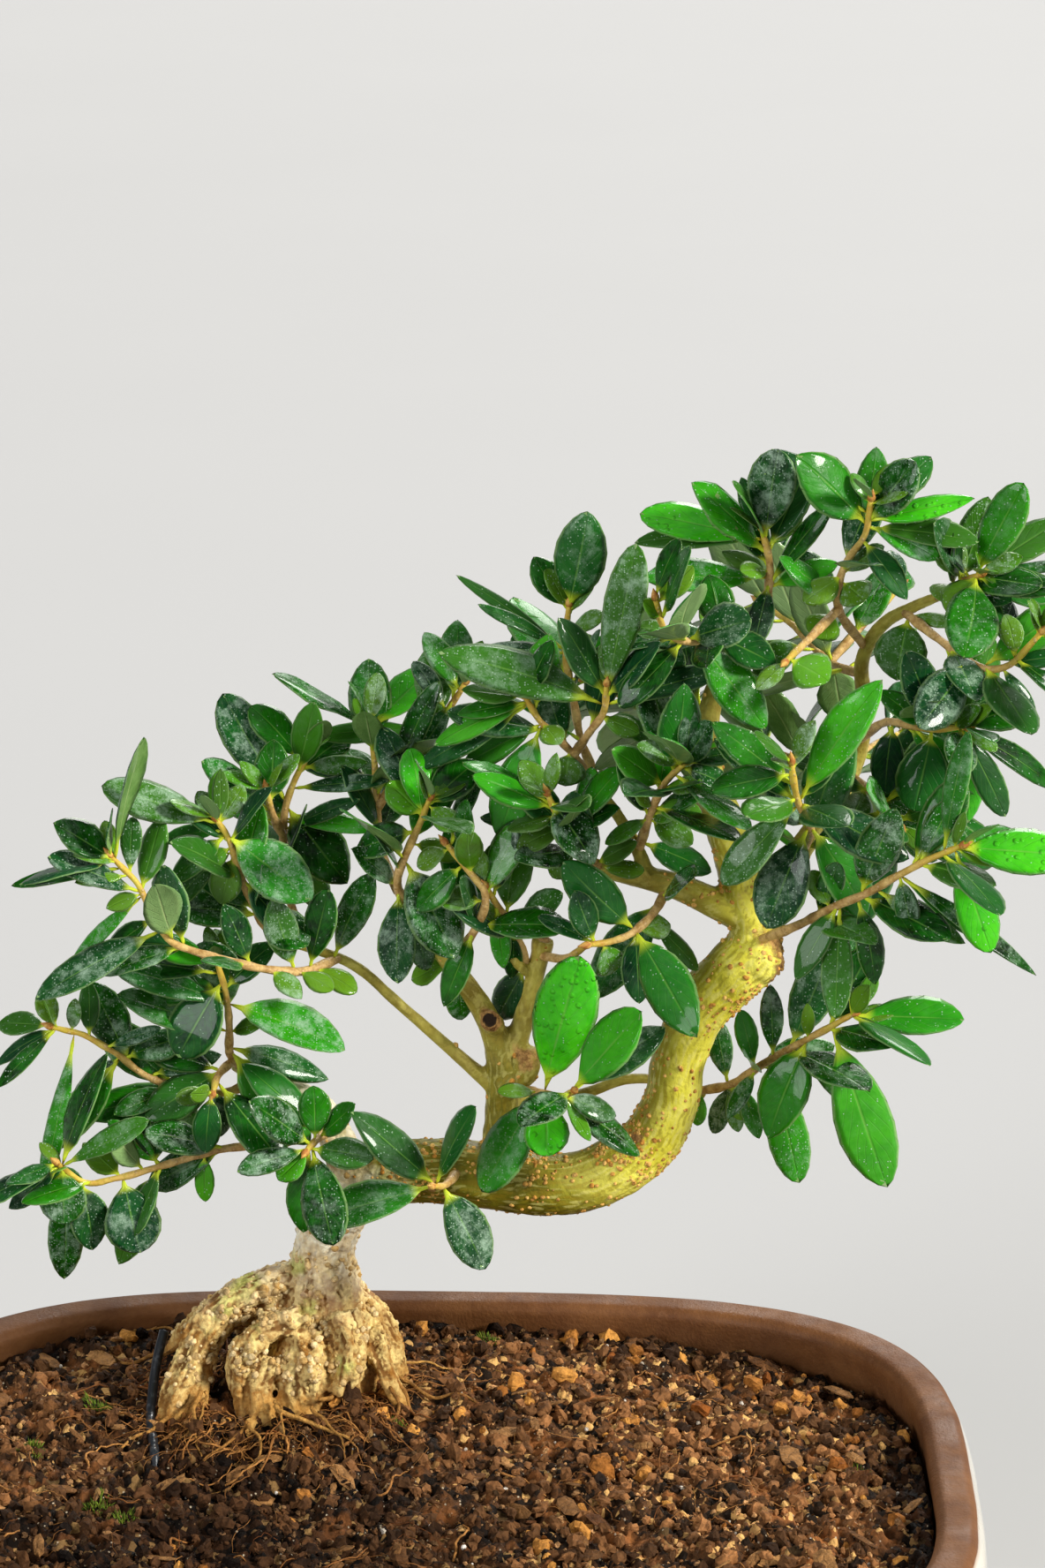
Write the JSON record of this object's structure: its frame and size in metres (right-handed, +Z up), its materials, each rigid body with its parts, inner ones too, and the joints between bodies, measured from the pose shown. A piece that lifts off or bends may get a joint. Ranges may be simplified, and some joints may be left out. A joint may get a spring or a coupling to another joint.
{
  "type": "olive bonsai tree in a pot",
  "caption": "Small olive tree with a twisted trunk, knobby roots and leafy sprays, growing in soil in a wide glazed ceramic pot on feet.",
  "frame": {"origin": "the middle of the whole object's box in plan, on the surface that the pot's feet stand on", "axes": "+Z up, +X along the pot's long side towards the crown, -Y towards the viewer"},
  "size_m": [0.2618, 0.2026, 0.285],
  "materials": {
    "pot": "ivory gloss glaze outside, unglazed brown rim and inside",
    "soil": "damp dark crumbs with orange clay grains",
    "wire": "black plastic coated tie wire",
    "bark": "rough pale bark on the root flare, smooth olive green bark above",
    "net": "black moulded net",
    "leaf": "waxy dark green leaves, dusty in places, with pale undersides"
  },
  "bodies": {
    "root": {"pot": "pot", "soil": "soil", "tie_wire": "wire", "trunk": "bark", "drain_net_left": "net", "drain_net_right": "net", "spray_low_left": "leaf", "spray_left_mid": "leaf", "spray_left_upright": "leaf", "spray_left_top": "leaf", "spray_left_far": "leaf", "spray_left_tall": "leaf", "spray_mid_left": "leaf", "spray_mid_low": "leaf", "spray_mid_back": "leaf", "spray_mid_top": "leaf", "spray_mid_crown": "leaf", "spray_elbow_left": "leaf", "spray_elbow_up": "leaf", "spray_elbow_low": "leaf", "spray_arch_front": "leaf", "spray_arch_drop": "leaf", "spray_bend_front": "leaf", "spray_right_low": "leaf", "spray_elbow_right": "leaf", "spray_centre_rosette": "leaf", "spray_right_mid": "leaf", "spray_right_hang": "leaf", "spray_crown_left": "leaf", "spray_crown_top": "leaf", "spray_crown_mid": "leaf", "spray_crown_right": "leaf", "spray_crown_far": "leaf", "spray_back_low": "leaf", "spray_back_top": "leaf", "spray_back_left": "leaf"}
  },
  "joints": []
}
